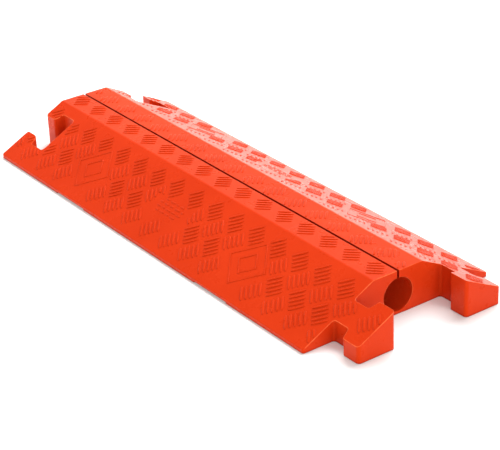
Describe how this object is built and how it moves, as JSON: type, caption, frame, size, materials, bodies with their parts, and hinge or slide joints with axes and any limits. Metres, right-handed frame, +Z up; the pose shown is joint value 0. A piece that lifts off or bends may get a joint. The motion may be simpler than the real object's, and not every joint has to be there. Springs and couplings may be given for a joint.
{
  "type": "cable protector ramp",
  "caption": "Low drive-over ramp with a round cable channel under a slit crown, halves on a living hinge, T tongues at one end and T sockets at the other.",
  "frame": {"origin": "middle of the bounding box's base, on the road surface, under the cable channel's axis", "axes": "+X along the cable channel towards the tongue end, +Y across the ramp towards the far half, +Z up"},
  "size_m": [0.9906, 0.3714, 0.0762],
  "materials": {
    "near_ramp": "satin",
    "far_ramp": "satin",
    "hinge_web": "satin"
  },
  "bodies": {
    "near_half": {"near_ramp": "near_ramp", "hinge_web": "hinge_web"},
    "far_half": {"far_ramp": "far_ramp"}
  },
  "joints": [
    {"name": "living_hinge", "type": "hinge", "parent": "near_half", "child": "far_half", "pos_m": [0, 0, 0], "axis": [-1, 0, 0], "range_deg": [-1.5, 45], "stiffness_Nm_per_rad": 24}
  ]
}
